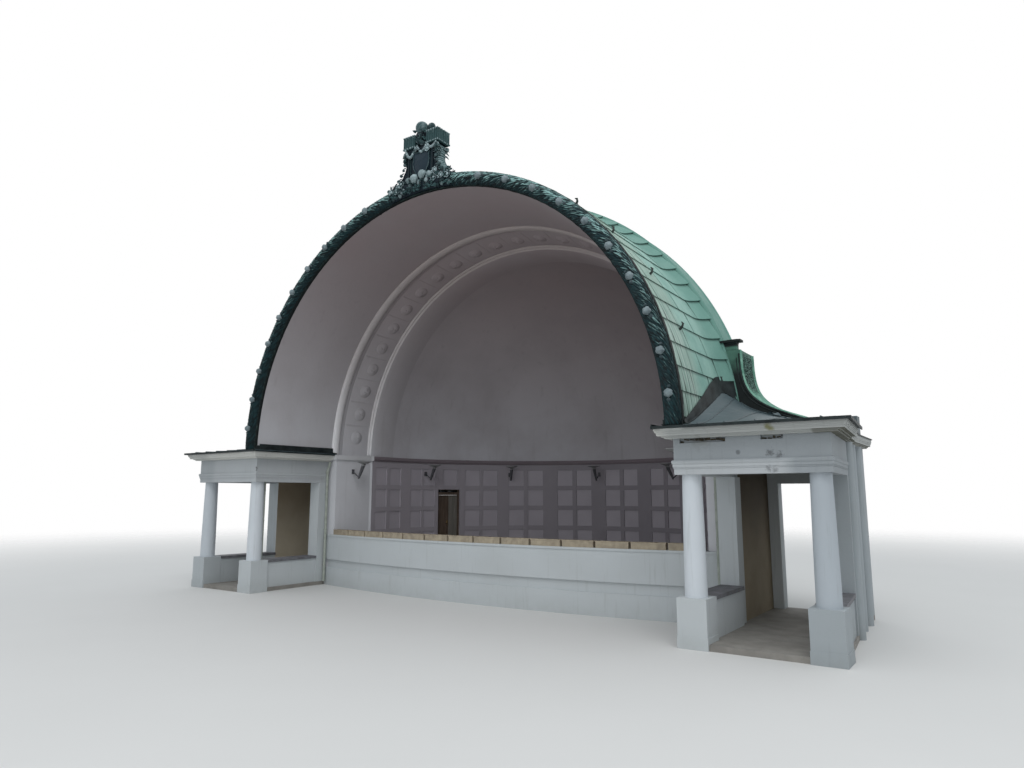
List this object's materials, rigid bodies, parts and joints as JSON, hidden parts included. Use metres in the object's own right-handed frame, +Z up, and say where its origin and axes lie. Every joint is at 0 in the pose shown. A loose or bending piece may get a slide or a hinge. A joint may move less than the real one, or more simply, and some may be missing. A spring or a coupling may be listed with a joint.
{
  "type": "bandstand",
  "caption": "Open-air concert bandstand with a copper-clad half-round shell, a domed apse over a raised stage, and a columned loggia on each side.",
  "frame": {"origin": "ground level, middle of the building's footprint", "axes": "+X to the right of the audience facing the stage, +Y from the audience into the building, +Z up"},
  "size_m": [22.9532, 13.8898, 14.78],
  "materials": {
    "white_render": "painted lime render, matt",
    "grey_plaster": "painted plaster, matt",
    "shell_plaster": "painted plaster, matt",
    "concrete_floor": "worn concrete",
    "dark_slab": "worn stone slab",
    "copper_green": "weathered copper sheet with green patina",
    "copper_dark": "chased copper, dark green patina",
    "zinc_sheet": "weathered painted sheet",
    "black_sheet": "painted sheet, satin",
    "pipe_metal": "painted steel pipe",
    "lamp_metal": "painted steel, satin",
    "trough_beige": "moulded trough, matt",
    "door_timber": "painted timber"
  },
  "bodies": {
    "building": {"stage_front_wall": "white_render", "stage_floor": "concrete_floor", "flower_troughs": "trough_beige", "arch_piers": "white_render", "apse_wall_left": "grey_plaster", "apse_wall_door_bay": "grey_plaster", "apse_wall_middle": "grey_plaster", "apse_wall_right": "grey_plaster", "apse_cornice": "grey_plaster", "stage_door_frame": "door_timber", "apse_dome_front": "shell_plaster", "apse_dome_left": "shell_plaster", "apse_dome_right": "shell_plaster", "apse_roof": "copper_green", "archivolt": "shell_plaster", "archivolt_bosses": "shell_plaster", "shell_vault": "shell_plaster", "shell_copper": "copper_green", "ridge_band": "copper_green", "rim_fascia": "copper_green", "rim_garland": "copper_dark", "garland_balls": "copper_dark", "crest_pedestal": "copper_dark", "crest_shield": "copper_green", "crest_scrolls": "copper_dark", "crest_ball": "copper_dark", "floodlights": "lamp_metal", "wing_floors": "concrete_floor", "pedestals": "white_render", "columns": "white_render", "low_walls": "white_render", "wall_copings": "dark_slab", "inner_piers": "white_render", "inner_walls": "white_render", "outer_walls": "white_render", "half_columns": "white_render", "rear_walls": "white_render", "entablatures": "white_render", "cornices": "white_render", "roof_edges": "black_sheet", "wing_roofs": "zinc_sheet", "volutes": "copper_dark", "downpipes": "pipe_metal"},
    "stage_door": {"stage_door_leaf": "door_timber"},
    "stage_door_narrow": {"stage_door_narrow_leaf": "door_timber"}
  },
  "joints": [
    {"name": "stage_door_hinge", "type": "hinge", "parent": "building", "child": "stage_door", "pos_m": [-6.7178, 2.1267, 2.2], "axis": [0, 0, 1], "range_deg": [0, 90]},
    {"name": "stage_door_narrow_hinge", "type": "hinge", "parent": "building", "child": "stage_door_narrow", "pos_m": [-6.3255, 2.9875, 2.2], "axis": [0, 0, -1], "range_deg": [0, 90]}
  ]
}
